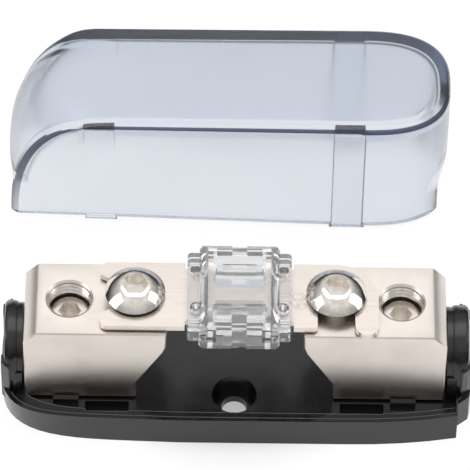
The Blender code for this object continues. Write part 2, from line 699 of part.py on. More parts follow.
def add_latch_details(half, name, facing, parting, box_face):
    """Notches for the snap catches in the front and back walls of the window box."""
    catch_half = 0.0011
    corner_half = 0.0007
    centre = FUSE_OFFSET_X
    for y_side in (-1, 1):
        deep = sorted((y_side * (WINDOW_BOX_HALF_DEPTH - 0.0009), y_side * (WINDOW_BOX_HALF_DEPTH + CUT_MARGIN)))
        tall = sorted((parting - facing * CUT_MARGIN, box_face + facing * CUT_MARGIN))
        low = (centre - catch_half, deep[0], tall[0])
        high = (centre + catch_half, deep[1], tall[1])
        cut(half, box("%s_catch_%d" % (name, y_side), low, high))
        for x_side in (-1, 1):
            middle = centre + x_side * (WINDOW_BOX_HALF_LENGTH - 0.0006)
            notch = sorted((parting - facing * CUT_MARGIN, parting + facing * 0.0015))
            low = (middle - corner_half, deep[0], notch[0])
            high = (middle + corner_half, deep[1], notch[1])
            cut(half, box("%s_notch_%d_%d" % (name, y_side, x_side), low, high))
    recess_z = sorted((box_face - facing * 0.0003, box_face + facing * CUT_MARGIN))
    recess = box(
        name + "_window",
        (centre - 0.0025, -0.0002, recess_z[0]),
        (centre + 0.0025, 0.0026, recess_z[1]),
    )
    cut(half, recess)


def build_housing(surface):
    """Two clear halves clamp the strip; four pins on the lower half pass through it and the upper half."""
    upper = housing_half("fuse_housing_upper", 1, surface)
    lower = housing_half("fuse_housing_lower", -1, surface)
    pin_low = STRIP_BOTTOM - SEAT_GAP - FLANGE_THICKNESS / 2
    pin_high = STRIP_TOP + SEAT_GAP + FLANGE_THICKNESS + 0.0002
    for k, (x, y) in enumerate(pin_places()):
        join(lower, rod("housing_pin_%d" % k, PIN_RADIUS, pin_low, pin_high, (x, y, 0), segments=16))
        ends = (STRIP_BOTTOM, pin_high + CUT_MARGIN)
        cut(upper, rod("pin_way_%d" % k, PIN_RADIUS + SEAT_GAP, *ends, (x, y, 0), segments=16))
    smooth(upper, 30)
    smooth(lower, 30)
    return upper, lower


def cover_side(x, half_depth, round_start, round_length):
    """Half width of the cover at a place along its length."""
    if x > round_start:
        return half_depth * superellipse(min(1.0, (x - round_start) / round_length), 2.6, 2.2)
    if x < COVER_TAPER_START:
        return half_depth - COVER_TAPER * ((COVER_TAPER_START - x) / (COVER_HALF_LENGTH + COVER_TAPER_START)) ** 1.6
    return half_depth


def cover_ring(height, inset, wall):
    """Plan of the cover at one height: square end at -X set back by the nose, round end at +X."""
    top = COVER_TOP - wall
    nose_fraction = superellipse(min(1.0, max(0.0, height / top)), 1.75, 1.75)
    nose_start = -COVER_HALF_LENGTH + COVER_NOSE_LENGTH
    left = nose_start - (COVER_NOSE_LENGTH - wall) * nose_fraction
    half_depth = COVER_HALF_DEPTH - wall - inset
    round_length = COVER_ROUND_END_LENGTH - wall - inset
    round_start = COVER_HALF_LENGTH - COVER_ROUND_END_LENGTH
    edge = COVER_EDGE_ROUND - 0.6 * wall
    corner_depth = cover_side(left, half_depth, round_start, round_length)
    side = [(left, 0.0)]
    side += arc((left + edge, -corner_depth + edge), edge, 180, 265, 5)
    for k in range(1, 5):
        x = left + edge + (COVER_TAPER_START - left - edge) * k / 4
        side.append((x, -cover_side(x, half_depth, round_start, round_length)))
    side.append((round_start, -half_depth))
    for k in range(1, 12):
        x = round_start + round_length * sin(pi / 2 * k / 11) ** 0.8
        side.append((x, -cover_side(x, half_depth, round_start, round_length)))
    tip = side[-1]
    back = [(x, -y) for x, y in reversed(side[1:-1])]
    ring = side[:-1] + [(tip[0], 0.0)] + back
    return [(COVER_CENTRE_X + x, COVER_CENTRE_Y + y, height) for x, y in ring]


def cover_shell(name, wall, foot, surface=None):
    """Solid form of the cover, or of the space inside it when wall is not zero."""
    top = COVER_TOP - wall
    edge = COVER_TOP_ROUND - 0.3 * wall
    rings = [cover_ring(foot, 0.0, wall)]
    steps = 12
    for k in range(1, steps):
        height = top * sin(pi / 2 * k / steps) ** (2 / 1.75)
        if height > foot + 0.0008:
            over = max(0.0, height - (top - edge))
            rings.append(cover_ring(height, edge - sqrt(edge ** 2 - over ** 2), wall))
    rings.append(cover_ring(top, edge, wall))
    return loft(name, rings, surface)


def build_cover(surface):
    """Clear cover: a thin shell with four ribbed legs, and a notch at each end for the posts."""
    cover = cover_shell("cover", 0.0, COVER_WALL_FOOT, surface)
    cut(cover, cover_shell("cover_inside", COVER_WALL, -CUT_MARGIN))
    ceiling = COVER_TOP - COVER_WALL
    for x_side in (-1, 1):
        for y_side in (-1, 1):
            middle = COVER_CENTRE_X + x_side * RIB_SPACING / 2
            bulk = 0.0006
            outer = COVER_CENTRE_Y + y_side * (COVER_HALF_DEPTH - bulk)
            inner = COVER_CENTRE_Y + y_side * (COVER_HALF_DEPTH - COVER_WALL - RIB_THICKNESS)
            low = (middle - RIB_WIDTH / 2, min(outer, inner), 0.0)
            high = (middle + RIB_WIDTH / 2, max(outer, inner), ceiling + bulk)
            join(cover, box("leg_rib_%d_%d" % (x_side, y_side), low, high))
    centre_y = COVER_CENTRE_Y
    square = rounded_rectangle(
        centre_y - NOTCH_SQUARE_HALF_WIDTH, centre_y + NOTCH_SQUARE_HALF_WIDTH, -0.004, NOTCH_SQUARE_HEIGHT, 0.001, 3
    )
    left = COVER_CENTRE_X - COVER_HALF_LENGTH
    cut(cover, prism("square_notch", square, left - CUT_MARGIN, left + NOTCH_REACH, "X"))
    arch = [(centre_y + y, z) for y, z in arch_outline(NOTCH_ARCH_HALF_WIDTH, -CUT_MARGIN, NOTCH_ARCH_SIDE_HEIGHT)]
    right = COVER_CENTRE_X + COVER_HALF_LENGTH
    cut(cover, prism("arch_notch", arch, right - NOTCH_REACH, right + CUT_MARGIN, "X"))
    smooth(cover, 40)
    return cover


def main():
    clear_scene()
    black_plastic = material("black_abs", (0.012, 0.012, 0.014), 0.22)
    plated_brass = material("nickel_plated_brass", (0.71, 0.66, 0.61), 0.34, 1.0)
    bright_steel = material("bright_nickel_steel", (0.74, 0.72, 0.70), 0.1, 1.0)
    zinc_strip = material("plated_zinc_strip", (0.72, 0.67, 0.60), 0.3, 1.0)
    clear_plastic = material("clear_polycarbonate", (0.93, 0.94, 0.97), 0.08, 0.0, 0.9)
    smoke_plastic = material("smoke_polycarbonate", (0.60, 0.66, 0.76), 0.2, 0.0, 0.8)
    build_tray(black_plastic)
    for side in (-1, 1):
        build_block(side, plated_brass)
        build_set_screw(side, plated_brass)
        build_fuse_screw(side, bright_steel)
        build_block_screw(side, bright_steel)
    build_strip(zinc_strip)
    build_housing(clear_plastic)
    build_cover(smoke_plastic)


main()
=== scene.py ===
# %% [markdown]
# This lesson dresses a bolt-down strip-fuse holder: a black moulded tray, two plated brass blocks, a
# strip fuse in a clear housing, and a smoke-blue cover that stands behind the tray. The solids come from
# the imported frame, at their real size, so the work here is finish, light and the finest shapes. All
# lengths are in metres.

# %% Load the frame
from math import asin, cos, pi, radians, sin, sqrt

import bmesh
import bpy
from mathutils import Matrix, Vector


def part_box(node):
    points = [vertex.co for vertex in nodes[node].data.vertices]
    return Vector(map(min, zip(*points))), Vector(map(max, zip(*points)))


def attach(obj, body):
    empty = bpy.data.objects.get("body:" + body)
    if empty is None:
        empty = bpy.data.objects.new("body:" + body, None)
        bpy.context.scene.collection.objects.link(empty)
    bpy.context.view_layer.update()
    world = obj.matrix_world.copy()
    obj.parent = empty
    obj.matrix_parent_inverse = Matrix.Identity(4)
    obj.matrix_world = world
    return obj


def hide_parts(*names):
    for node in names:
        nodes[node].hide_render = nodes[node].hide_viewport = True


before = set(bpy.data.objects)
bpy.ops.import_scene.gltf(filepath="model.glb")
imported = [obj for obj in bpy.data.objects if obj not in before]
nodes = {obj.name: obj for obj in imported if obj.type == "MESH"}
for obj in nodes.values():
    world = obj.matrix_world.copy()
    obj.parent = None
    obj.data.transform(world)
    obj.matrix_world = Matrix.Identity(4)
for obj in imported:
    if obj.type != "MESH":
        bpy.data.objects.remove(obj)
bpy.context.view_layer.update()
print("nodes:", sorted(nodes))

# %% [markdown]
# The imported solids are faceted, and each facet has its own corners. A Weld modifier joins the corners
# again, and an Edge Split keeps the true edges crisp while round faces shade smoothly. Modifiers were
# chosen over mesh edits because the solids must stay exactly as packed.

# %% Smooth the round faces
WELD_DISTANCE = 0.000005
SHARP_ANGLE = 32


def shade_round_faces(item, angle):
    item.data.shade_smooth()
    weld = item.modifiers.new("Join corners", "WELD")
    weld.merge_threshold = WELD_DISTANCE
    split = item.modifiers.new("Keep true edges", "EDGE_SPLIT")
    split.split_angle = radians(angle)


for item in nodes.values():
    shade_round_faces(item, SHARP_ANGLE)
print("shaded", len(nodes), "nodes")

# %% [markdown]
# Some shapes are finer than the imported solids, so the tray and the cover get a new piece in their place.
# Both are made with the same few tools. A loft joins outlines of equal length into a closed solid, and a
# Boolean modifier cuts or joins two solids. The exact solver was chosen because many of the faces lie
# close together.

# %% Tools that shape a solid
HAIR = 0.00002


def object_from(name, mesh):
    item = bpy.data.objects.new(name, mesh)
    bpy.context.scene.collection.objects.link(item)
    return item


def mesh_object(name, builder):
    """Turn a finished bmesh into an object."""
    mesh = bpy.data.meshes.new(name)
    builder.to_mesh(mesh)
    builder.free()
    return object_from(name, mesh)


def loft(name, rings):
    """Join closed outlines of equal length into one closed solid."""
    builder = bmesh.new()
    rows = [[builder.verts.new(point) for point in ring] for ring in rings]
    count = len(rings[0])
    for lower, upper in zip(rows, rows[1:]):
        for i in range(count):
            j = (i + 1) % count
            builder.faces.new((lower[i], lower[j], upper[j], upper[i]))
    builder.faces.new(rows[0])
    builder.faces.new(rows[-1])
    bmesh.ops.recalc_face_normals(builder, faces=builder.faces)
    return mesh_object(name, builder)


def circle(centre, radius, level, steps=64):
    angles = [2 * pi * k / steps for k in range(steps)]
    return [(centre[0] + radius * cos(a), centre[1] + radius * sin(a), level) for a in angles]


def disc(name, centre, radius, ends):
    return loft(name, [circle(centre, radius, level) for level in ends])


def apply_tool(target, tool, operation):
    """Cut or join with a tool, keep the result as the target's own mesh, and drop the tool."""
    step = target.modifiers.new("tool", "BOOLEAN")
    step.operation = operation
    step.object = tool
    step.solver = "EXACT"
    bpy.context.view_layer.update()
    finished = target.evaluated_get(bpy.context.evaluated_depsgraph_get())
    mesh = bpy.data.meshes.new_from_object(finished)
    target.modifiers.clear()
    target.data = mesh
    bpy.data.objects.remove(tool)


# %% [markdown]
# The tray is one moulding, with an arch at each end where the wire enters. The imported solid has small
# steps beside the arches, which the real tray lacks, and its rear fixing hole lies a little too far
# forward. A copy of its mesh is welded, the steps are cut flush with the arches, and the hole is plugged
# and cut again. Cutting a copy was chosen over new modelling because the rest of the tray is right.

# %% Tray
ARCH_END_LEFT = 0.03467
ARCH_END_RIGHT = 0.03517
ARCH_RADIUS = 0.00621
ARCH_ROUND = 0.0006
ARCH_ROUND_MIDDLE = (0.00017, 0.00604)
ARCH_FACE_RADIUS = 0.00563
ARCH_STEPS = 48
WIRE_AXIS = 0.0095
END_WALL_TOP = 0.0112
TRIM_FROM = 0.0322
TRIM_TO = 0.0366
TRIM_REACH = 0.0085
TRIM_TOP = 0.018
FLOOR_LEVEL = 0.0043
FIXING_SEAT = 0.0013
FIXING_Y = 0.0058
FIXING_MOVE = 0.0007
COUNTERBORE_RADIUS = 0.0034
COUNTERBORE_TOP = 0.006
PLUG_MARGIN = 0.0001
FIXING_RADIUS = 0.0019
FIXING_ENDS = (-0.001, 0.002)


def welded_copy(node_name, name):
    builder = bmesh.new()
    builder.from_mesh(nodes[node_name].data)
    bmesh.ops.remove_doubles(builder, verts=builder.verts, dist=WELD_DISTANCE)
    return mesh_object(name, builder)


def arch_trimmer(name, side, end):
    """All that lies outside the arch and above the end wall, with the arch's rounded end."""
    low = END_WALL_TOP + HAIR
    turn_x, turn_radius = ARCH_ROUND_MIDDLE
    stations = [
        (TRIM_FROM, ARCH_RADIUS),
        (end - ARCH_ROUND, ARCH_RADIUS),
        (end - turn_x, turn_radius),
        (end + HAIR, ARCH_FACE_RADIUS),
        (TRIM_TO, ARCH_FACE_RADIUS),
    ]
    rings = []
    for x, radius in sorted((side * x, radius) for x, radius in stations):
        start = asin((low - WIRE_AXIS) / radius)
        angles = [start + (pi - 2 * start) * k / ARCH_STEPS for k in range(ARCH_STEPS + 1)]
        outline = [(TRIM_REACH, low)]
        outline += [(radius * cos(a), WIRE_AXIS + radius * sin(a)) for a in angles]
        outline += [(-TRIM_REACH, low), (-TRIM_REACH, TRIM_TOP), (TRIM_REACH, TRIM_TOP)]
        rings.append([(x, y, z) for y, z in outline])
    return loft(name, rings)


def move_rear_hole(target):
    old_place = (0.0, FIXING_Y)
    new_place = (0.0, FIXING_Y + FIXING_MOVE)
    plug = disc("plug", old_place, COUNTERBORE_RADIUS + PLUG_MARGIN, (0.0, FLOOR_LEVEL))
    apply_tool(target, plug, "UNION")
    wide = disc("wide", new_place, COUNTERBORE_RADIUS, (FIXING_SEAT, COUNTERBORE_TOP))
    apply_tool(target, wide, "DIFFERENCE")
    narrow = disc("narrow", new_place, FIXING_RADIUS, FIXING_ENDS)
    apply_tool(target, narrow, "DIFFERENCE")


tray = welded_copy("base_tray", "tray_with_fine_edges")
apply_tool(tray, arch_trimmer("trim_left", -1, ARCH_END_LEFT), "DIFFERENCE")
apply_tool(tray, arch_trimmer("trim_right", 1, ARCH_END_RIGHT), "DIFFERENCE")
move_rear_hole(tray)
shade_round_faces(tray, SHARP_ANGLE)
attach(tray, "holder")
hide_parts("base_tray")
print("tray faces:", len(tray.data.polygons))

# %% [markdown]
# A moulded edge is never quite sharp, so each edge of the real rim catches a fine line of light. A bevel
# would disturb the shading of the flat faces beside it. Instead the edges are found on the mesh by their
# level and by the way their wall faces, and a very thin round bead is laid along them, just inside the
# outer walls.

# %% Beads along the rim
RIM_LEVEL = 0.0056
LEDGE_LEVEL = 0.0052
RIM_BEAD = 0.00009
BEAD_JOIN = 0.00001
TRAY_HALF_LENGTH = 0.035
TRAY_HALF_DEPTH = 0.0117


def edges_at_level(mesh, level, facing):
    """Edges between a flat top at one level and an upright wall that faces out (+1) or in (-1)."""
    builder = bmesh.new()
    builder.from_mesh(mesh)
    found = []
    for edge in builder.edges:
        on_level = all(abs(vert.co.z - level) < HAIR for vert in edge.verts)
        if not on_level or len(edge.link_faces) != 2:
            continue
        middle = (edge.verts[0].co + edge.verts[1].co) / 2
        middle.z = 0
        top = any(face.normal.z > 0.9 for face in edge.link_faces)
        walls = [face for face in edge.link_faces if abs(face.normal.z) < 0.5]
        if top and walls and facing * walls[0].normal.dot(middle) > 0:
            found.append([vert.co.copy() for vert in edge.verts])
    builder.free()
    return found


def bead_along(name, pairs, radius):
    """A thin round line over joined edges."""
    builder = bmesh.new()
    inward = Vector((1 - radius / TRAY_HALF_LENGTH, 1 - radius / TRAY_HALF_DEPTH, 1))
    down = Vector((0, 0, radius))
    for pair in pairs:
        builder.edges.new([builder.verts.new(point * inward - down) for point in pair])
    bmesh.ops.remove_doubles(builder, verts=builder.verts, dist=BEAD_JOIN)
    item = mesh_object(name, builder)
    bpy.ops.object.select_all(action="DESELECT")
    item.select_set(True)
    bpy.context.view_layer.objects.active = item
    bpy.ops.object.convert(target="CURVE")
    item.data.bevel_depth = radius
    item.data.bevel_resolution = 2
    bpy.ops.object.convert(target="MESH")
    return item


rim_beads = []
for name, level, facing in (("outer", RIM_LEVEL, 1), ("lip", RIM_LEVEL, -1), ("ledge", LEDGE_LEVEL, -1)):
    bead = bead_along("rim_bead_" + name, edges_at_level(tray.data, level, facing), RIM_BEAD)
    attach(bead, "holder")
    rim_beads.append(bead)
    print(bead.name, "faces:", len(bead.data.polygons))

# %% [markdown]
# The cover is a thin moulded shell. Seen from above, its round end is fuller than an ellipse, and the
# nose is full and falls steeply. Every level of the shell is therefore an outline of its own: quarter
# superellipses, which are ellipses with fuller corners, at the round end, and a bowed front with rounded
# corners at the nose. Levels lofted from formulas were chosen because the wall's inside then follows the
# same form, only smaller.

# %% Outline of the cover at one height
COVER_MIDDLE_Y = 0.0404
COVER_HALF_DEPTH = 0.0106
COVER_TOP = 0.0238
ROUND_END_START = 0.019
ROUND_END_TIP = 0.03285
ROUND_END_ALONG = (2.6, 2.7)
ROUND_END_ACROSS = (3.2, 2.7)
ROUND_END_STEPS = 22
NOSE_TIP = -0.0356
NOSE_CREST = -0.021
NOSE_POWER = 3.6
NOSE_CORNER = -0.0353
NOSE_CORNER_CREST = -0.0195
NOSE_CORNER_POWER = 2.2
NOSE_CORNER_ROUND = 0.0016
NOSE_CORNER_STEPS = 10
NOSE_STEPS = 16
TAPER_START = -0.017
TAPER_SHARE = 0.2
TAPER_POWER = 1.7


def quarter(power_along, power_across, steps):
    """Points of a unit quarter superellipse, from its tip to its side."""
    angles = [pi / 2 * k / steps for k in range(steps)]
    curve = [(cos(a) ** (2 / power_along), sin(a) ** (2 / power_across)) for a in angles]
    return curve + [(0.0, 1.0)]


def mix(low, high, share):
    return low + (high - low) * share


def side_taper(x):
    """The long walls draw together towards the nose."""
    share = max(0.0, (TAPER_START - x) / (TAPER_START - NOSE_TIP))
    return 1 - TAPER_SHARE * share ** TAPER_POWER


def cover_outline(height, wall, inset):
    rise = min(1.0, max(0.0, height / (COVER_TOP - wall)))
    half = COVER_HALF_DEPTH - wall - inset
    reach = ROUND_END_TIP - wall - inset - ROUND_END_START
    round_end = quarter(mix(*ROUND_END_ALONG, rise), mix(*ROUND_END_ACROSS, rise), ROUND_END_STEPS)
    front = [(ROUND_END_START + reach * u, -half * w) for u, w in round_end]
    fall = max(0.0, 1 - rise ** NOSE_POWER) ** (1 / NOSE_POWER)
    tip = mix(NOSE_CREST, NOSE_TIP + wall, fall) + inset
    fall = max(0.0, 1 - rise ** NOSE_CORNER_POWER) ** (1 / NOSE_CORNER_POWER)
    corner = max(tip + 0.0001, mix(NOSE_CORNER_CREST, NOSE_CORNER + wall, fall) + inset)
    edge = NOSE_CORNER_ROUND
    flat = half - edge
    bow = (corner - tip) * (flat / half) ** 2
    turn = [pi / 2 * k / NOSE_CORNER_STEPS for k in range(NOSE_CORNER_STEPS + 1)]
    front += [(tip + bow + edge * (1 - sin(a)), -flat - edge * cos(a)) for a in turn]
    for k in range(NOSE_STEPS - 1, -1, -1):
        y = flat * k / NOSE_STEPS
        front.append((tip + (corner - tip) * (y / half) ** 2, -y))
    back = [(x, -y) for x, y in reversed(front[1:-1])]
    return [(x, COVER_MIDDLE_Y + y * side_taper(x), height) for x, y in front + back]


print("cover outline points:", len(cover_outline(0.0, 0.0, 0.0)))

# %% [markdown]
# The shell is the outer form less the inner one. Each has a rounded top edge, made by drawing the last
# few levels in along a quarter circle. Four legs run down the inside of the long walls and stand a little
# below the foot, where they plug into the tray. The nose has a square notch and the round end an arched
# one, which clear the wires. Every one of these is a simple loft that is cut from the shell or joined to
# it.

# %% Cover
COVER_FOOT = 0.001
COVER_WALL = 0.0015
COVER_EDGE = 0.0013
COVER_INNER_EDGE = 0.0016
COVER_LEVELS = 44
LEAST_LEVEL_STEP = 0.0003
COVER_SHARP_ANGLE = 35
INSIDE_FOOT = -0.001
LEG_PLACES = (-0.0211, 0.0173)
LEG_HALF_WIDTH = 0.00275
LEG_SLANT = 0.00045
LEG_DEPTH = 0.0007
LEG_COVERED = 0.0003
LEG_ROOT = 0.0005
LEG_LIMIT_FOOT = -0.0005
NOTCH_SQUARE = (0.0079, 0.0092)
NOTCH_SQUARE_CORNER = 0.001
NOTCH_SQUARE_REACH = 0.0062
NOTCH_ARCH = (0.0068, 0.0056)
NOTCH_ARCH_REACH = 0.006
NOTCH_ARCH_STEPS = 32
NOTCH_LOW = -0.004
NOTCH_BEYOND = 0.001


def cover_form(name, wall, foot, edge=COVER_EDGE):
    top = COVER_TOP - wall
    rings = [cover_outline(foot, wall, 0.0)]
    for k in range(1, COVER_LEVELS + 1):
        height = top * sin(pi / 2 * k / COVER_LEVELS) ** (2 / NOSE_POWER)
        if height > foot + LEAST_LEVEL_STEP:
            over = max(0.0, height - (top - edge))
            inset = edge - sqrt(max(0.0, edge ** 2 - over ** 2))
            rings.append(cover_outline(height, wall, inset))
    return loft(name, rings)


def leg(name, middle, facing):
    """A rib on the inside of a long wall, drafted at its sides and a little longer than the wall."""
    outer = facing * (COVER_HALF_DEPTH - LEG_ROOT)
    inner = facing * (COVER_HALF_DEPTH - COVER_WALL - LEG_DEPTH)
    plan = [
        (middle - LEG_HALF_WIDTH, outer),
        (middle + LEG_HALF_WIDTH, outer),
        (middle + LEG_HALF_WIDTH - LEG_SLANT, inner),
        (middle - LEG_HALF_WIDTH + LEG_SLANT, inner),
    ]
    ends = (0.0, COVER_TOP - COVER_WALL + LEG_ROOT)
    return loft(name, [[(x, COVER_MIDDLE_Y + y, z) for x, y in plan] for z in ends])


def notch(name, outline, x_low, x_high):
    return loft(name, [[(x, COVER_MIDDLE_Y + y, z) for y, z in outline] for x in (x_low, x_high)])


def square_notch():
    half, high = NOTCH_SQUARE
    corner = NOTCH_SQUARE_CORNER
    outline = [(half, NOTCH_LOW), (half, high - corner), (half - corner, high)]
    outline += [(-half + corner, high), (-half, high - corner), (-half, NOTCH_LOW)]
    return notch("square", outline, NOSE_TIP - NOTCH_BEYOND, NOSE_TIP + NOTCH_SQUARE_REACH)


def arched_notch():
    half, side_height = NOTCH_ARCH
    angles = [pi * k / NOTCH_ARCH_STEPS for k in range(NOTCH_ARCH_STEPS + 1)]
    outline = [(-half, NOTCH_LOW), (half, NOTCH_LOW)]
    outline += [(half * cos(a), side_height + half * sin(a)) for a in angles]
    return notch("arch", outline, ROUND_END_TIP - NOTCH_ARCH_REACH, ROUND_END_TIP + NOTCH_BEYOND)


cover = cover_form("cover_with_full_ends", 0.0, COVER_FOOT)
apply_tool(cover, cover_form("inside", COVER_WALL, INSIDE_FOOT, COVER_INNER_EDGE), "DIFFERENCE")
for k, middle in enumerate(LEG_PLACES):
    for facing in (-1, 1):
        one_leg = leg("leg_%d_%d" % (k, facing), middle, facing)
        apply_tool(one_leg, cover_form("limit", LEG_COVERED, LEG_LIMIT_FOOT), "INTERSECT")
        apply_tool(cover, one_leg, "UNION")
apply_tool(cover, square_notch(), "DIFFERENCE")
apply_tool(cover, arched_notch(), "DIFFERENCE")
cover.data.shade_smooth()
cover_split = cover.modifiers.new("Keep true edges", "EDGE_SPLIT")
cover_split.split_angle = radians(COVER_SHARP_ANGLE)
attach(cover, "cover")
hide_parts("cover")
print("cover faces:", len(cover.data.polygons))

# %% [markdown]
# Colours are written as sRGB hex values, as a paint chart gives them, and one function turns them to the
# linear values that the renderer works in. One more function adds a shader node with its settings and
# links, which keeps each material's recipe short enough to read.

# %% Colour and node helpers
def linear(hex_colour):
    """sRGB hex to linear red, green, blue and full alpha."""
    channels = [int(hex_colour[i:i + 2], 16) / 255 for i in (1, 3, 5)]
    return [c / 12.92 if c <= 0.04045 else ((c + 0.055) / 1.055) ** 2.4 for c in channels] + [1.0]


def add_node(tree, kind, settings=None, links=None):
    """Add one node: settings are properties or input values, links join other outputs to its inputs."""
    item = tree.nodes.new(kind)
    for key, value in (settings or {}).items():
        if isinstance(key, str) and hasattr(item, key):
            setattr(item, key, value)
        else:
            item.inputs[key].default_value = value
    for key, source in (links or {}).items():
        tree.links.new(source, item.inputs[key])
    return item


def new_material(name):
    """An empty node tree with its output."""
    surface = bpy.data.materials.new(name)
    surface.use_nodes = True
    surface.node_tree.nodes.clear()
    output = surface.node_tree.nodes.new("ShaderNodeOutputMaterial")
    return surface, surface.node_tree, output


def place_noise(tree, size_mm, detail=3.0, roughness=0.5, stretch=(1.0, 1.0, 1.0)):
    """Noise whose blotches measure about size_mm on the object."""
    place = add_node(tree, "ShaderNodeTexCoord").outputs["Object"]
    mapping = add_node(tree, "ShaderNodeMapping", {"Scale": stretch}, {"Vector": place})
    settings = {"Scale": 1000.0 / size_mm, "Detail": detail, "Roughness": roughness}
    return add_node(tree, "ShaderNodeTexNoise", settings, {"Vector": mapping.outputs[0]}).outputs["Fac"]


def spread(tree, value, low, high, from_low=0.3, from_high=0.7):
    """Map the middle of a noise to a range."""
    settings = {"From Min": from_low, "From Max": from_high, "To Min": low, "To Max": high}
    return add_node(tree, "ShaderNodeMapRange", settings, {"Value": value}).outputs["Result"]


def blend_colours(tree, factor, first, second):
    settings = {"data_type": "RGBA", 6: linear(first), 7: linear(second)}
    return add_node(tree, "ShaderNodeMix", settings, {0: factor}).outputs[2]


def bump(tree, height, depth_mm, strength=1.0):
    settings = {"Strength": strength, "Distance": depth_mm / 1000}
    return add_node(tree, "ShaderNodeBump", settings, {"Height": height}).outputs["Normal"]


print("mid grey is", [round(c, 3) for c in linear("#808080")])

# %% [markdown]
# The tray is injection-moulded ABS, black all through and polished by its mould. Its gloss shows soft
# reflections with a faint ripple, called orange peel, and a few light specks of dust. Typical ABS has an
# index of refraction of 1.54. The ripple is about 2 mm wide and far shallower than a hair. The beads
# along the rim are the same plastic painted greyer, a painted highlight for the line of light on each
# edge.

# %% Gloss black ABS
ABS_BLACK = "#0A0A0C"
ABS_WORN = "#26262A"
# The next two greys are for the rim beads: a painted highlight along the rim edges.
ABS_PAINTED_HIGHLIGHT = "#47474C"
ABS_HIGHLIGHT_SPECK = "#77777C"
ABS_IOR = 1.54


def gloss_abs(name, base, speck_dust_and_highlight):
    surface, tree, output = new_material(name)
    ripple = place_noise(tree, 2.2, 2.0)
    fine = place_noise(tree, 0.35, 4.0)
    colour = blend_colours(tree, spread(tree, fine, 0.0, 0.5, 0.45, 0.8), base, speck_dust_and_highlight)
    roughness = spread(tree, ripple, 0.16, 0.27)
    links = {"Base Color": colour, "Roughness": roughness, "Normal": bump(tree, ripple, 0.012, 0.6)}
    shader = add_node(tree, "ShaderNodeBsdfPrincipled", {"IOR": ABS_IOR}, links)
    tree.links.new(shader.outputs[0], output.inputs["Surface"])
    return surface


tray_abs = gloss_abs("gloss_black_moulded_abs", ABS_BLACK, ABS_WORN)
# The beads' lighter grey ABS is a painted highlight.
highlight_abs = gloss_abs("black_moulded_abs_painted_highlight", ABS_PAINTED_HIGHLIGHT, ABS_HIGHLIGHT_SPECK)
print("made", tray_abs.name, "and", highlight_abs.name)

# %% [markdown]
# The blocks are brass, sawn and milled from bar, then nickel plated. Nickel is a warm, slightly yellow
# silver. The plating follows a fine grain left by tumbling, so faces look satin with tiny sparkles,
# coarser low on the sides. The grain is about 0.2 mm, drawn a little coarser than life so that it shows
# at this distance.

# %% Nickel-plated brass
NICKEL_LIGHT = "#E9E1DA"
NICKEL_DEEP = "#CFC5BC"
GRAIN_DEPTH = 0.00003
GRAIN_FADES = (0.006, 0.014)


def plated_brass():
    surface, tree, output = new_material("satin_nickel_plated_brass")
    grain = place_noise(tree, 0.32, 5.0, 0.65)
    cloud = place_noise(tree, 5.0, 2.0)
    colour = blend_colours(tree, spread(tree, cloud, 0.0, 0.4), NICKEL_LIGHT, NICKEL_DEEP)
    place = add_node(tree, "ShaderNodeTexCoord").outputs["Object"]
    level = add_node(tree, "ShaderNodeSeparateXYZ", None, {0: place}).outputs["Z"]
    low_down = spread(tree, level, 1.0, 0.25, *GRAIN_FADES)
    links = {"Height": grain, "Strength": low_down}
    tooth = add_node(tree, "ShaderNodeBump", {"Distance": GRAIN_DEPTH}, links).outputs["Normal"]
    links = {"Base Color": colour, "Roughness": spread(tree, grain, 0.27, 0.45), "Normal": tooth}
    shader = add_node(tree, "ShaderNodeBsdfPrincipled", {"Metallic": 1.0}, links)
    tree.links.new(shader.outputs[0], output.inputs["Surface"])
    return surface


block_metal = plated_brass()
print("made", block_metal.name)

# %% [markdown]
# The fuse screws are steel with bright nickel: nearly a mirror, with faint turning marks that only soften
# the highlights. The set screws get the same plating, a little duller inside their holes.

# %% Bright nickel-plated steel
BRIGHT_NICKEL = "#EFEAE4"
BRIGHT_NICKEL_DULL = "#D6CDC4"


def bright_nickel(name, low, high):
    surface, tree, output = new_material(name)
    marks = place_noise(tree, 1.2, 3.0)
    colour = blend_colours(tree, spread(tree, marks, 0.0, 1.0), BRIGHT_NICKEL, BRIGHT_NICKEL_DULL)
    links = {
        "Base Color": colour,
        "Roughness": spread(tree, marks, low, high),
        "Normal": bump(tree, marks, 0.004, 0.4),
    }
    shader = add_node(tree, "ShaderNodeBsdfPrincipled", {"Metallic": 1.0}, links)
    tree.links.new(shader.outputs[0], output.inputs["Surface"])
    return surface


screw_metal = bright_nickel("bright_nickel_plated_steel", 0.06, 0.13)
set_screw_metal = bright_nickel("dull_nickel_plated_steel", 0.18, 0.3)
print("made", screw_metal.name, "and", set_screw_metal.name)

# %% [markdown]
# The fuse strip is blanked from zinc sheet and plated. Rolling leaves fine lines along the sheet, so the
# noise is stretched along the strip. The lines are about 0.5 mm apart, drawn coarser than life so that
# they show.

# %% Plated zinc strip
STRIP_LIGHT = "#E9E1DA"
STRIP_DEEP = "#DBD1C8"


def rolled_strip():
    surface, tree, output = new_material("rolled_plated_zinc")
    lines = place_noise(tree, 0.5, 4.0, 0.6, (0.08, 1.0, 1.0))
    colour = blend_colours(tree, spread(tree, lines, 0.0, 1.0), STRIP_LIGHT, STRIP_DEEP)
    links = {
        "Base Color": colour,
        "Roughness": spread(tree, lines, 0.24, 0.36),
        "Normal": bump(tree, lines, 0.01, 0.4),
    }
    shader = add_node(tree, "ShaderNodeBsdfPrincipled", {"Metallic": 1.0}, links)
    tree.links.new(shader.outputs[0], output.inputs["Surface"])
    return surface


strip_metal = rolled_strip()
print("made", strip_metal.name)

# %% [markdown]
# Both clear plastics are polycarbonate, with an index of refraction of 1.585. The fuse housing is moulded
# in a polished tool, so it is nearly as clear as glass and only its ribs and edges draw it.

# %% Clear polycarbonate
PC_IOR = 1.585
CLEAR_TINT = "#FDFDFE"


